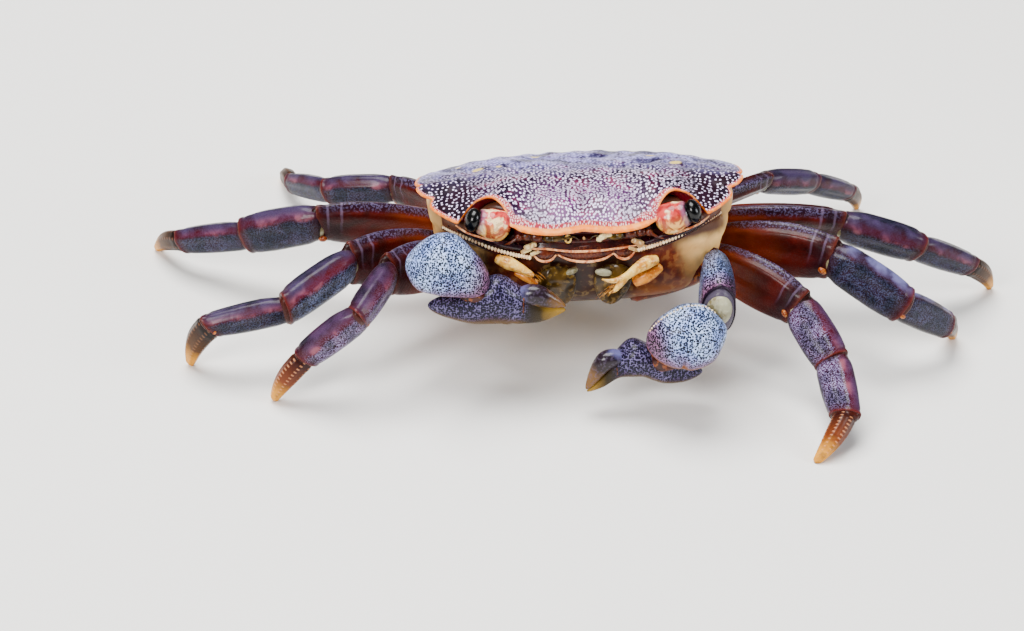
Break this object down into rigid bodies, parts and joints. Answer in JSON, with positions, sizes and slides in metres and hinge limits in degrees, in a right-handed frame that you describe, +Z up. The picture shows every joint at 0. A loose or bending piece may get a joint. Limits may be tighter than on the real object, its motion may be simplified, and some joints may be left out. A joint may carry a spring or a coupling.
{
  "type": "purple shore crab",
  "caption": "Life-size still model of a purple shore crab: speckled shell, stalked eyes, folded blunt claws, and jointed walking legs spread out on the floor.",
  "frame": {"origin": "centre of the bounding box's base, on the floor under the crab", "axes": "+X to the crab's own left and +Y towards its tail, so the face looks along -Y; +Z up"},
  "size_m": [0.0824, 0.049, 0.0195],
  "materials": {
    "shell": "glossy calcified cuticle, dark purple with pale lilac dots",
    "underside": "smooth cream and brown cuticle",
    "mouth": "satin yellow and brown cuticle",
    "eyestalk": "glossy cream and pink cuticle",
    "cornea": "very glossy near-black eye",
    "leg": "glossy navy purple cuticle",
    "leg_merus": "glossy translucent red-brown cuticle",
    "leg_dactyl": "satin orange-brown horn",
    "claw": "glossy blue-lilac cuticle with navy markings",
    "claw_finger": "glossy dark brown horn with yellow tip"
  },
  "bodies": {
    "root": {"carapace": "shell", "thorax": "underside", "epistome": "mouth", "abdomen": "underside", "eyestalk_right": "eyestalk", "cornea_right": "cornea", "antennule_right": "mouth", "antenna_right": "mouth", "maxilliped_right": "mouth", "palp_right": "mouth", "eyestalk_left": "eyestalk", "cornea_left": "cornea", "antennule_left": "mouth", "antenna_left": "mouth", "maxilliped_left": "mouth", "palp_left": "mouth", "cheliped_right_merus": "claw", "cheliped_right_carpus": "claw", "cheliped_right_palm": "claw", "cheliped_right_dactyl": "claw_finger", "leg1_right_merus": "leg_merus", "leg1_right_carpus": "leg", "leg1_right_propodus": "leg", "leg1_right_dactyl": "leg_dactyl", "leg2_right_merus": "leg_merus", "leg2_right_carpus": "leg", "leg2_right_propodus": "leg", "leg2_right_dactyl": "leg_dactyl", "leg3_right_merus": "leg_merus", "leg3_right_carpus": "leg", "leg3_right_propodus": "leg", "leg3_right_dactyl": "leg_dactyl", "leg4_right_merus": "leg_merus", "leg4_right_carpus": "leg", "leg4_right_propodus": "leg", "leg4_right_dactyl": "leg_dactyl", "cheliped_left_merus": "claw", "cheliped_left_carpus": "claw", "cheliped_left_palm": "claw", "cheliped_left_dactyl": "claw_finger", "leg1_left_merus": "leg_merus", "leg1_left_carpus": "leg", "leg1_left_propodus": "leg", "leg1_left_dactyl": "leg_dactyl", "leg2_left_merus": "leg_merus", "leg2_left_carpus": "leg", "leg2_left_propodus": "leg", "leg2_left_dactyl": "leg_dactyl", "leg3_left_merus": "leg_merus", "leg3_left_carpus": "leg", "leg3_left_propodus": "leg", "leg3_left_dactyl": "leg_dactyl", "leg4_left_merus": "leg_merus", "leg4_left_carpus": "leg", "leg4_left_propodus": "leg", "leg4_left_dactyl": "leg_dactyl"}
  },
  "joints": []
}
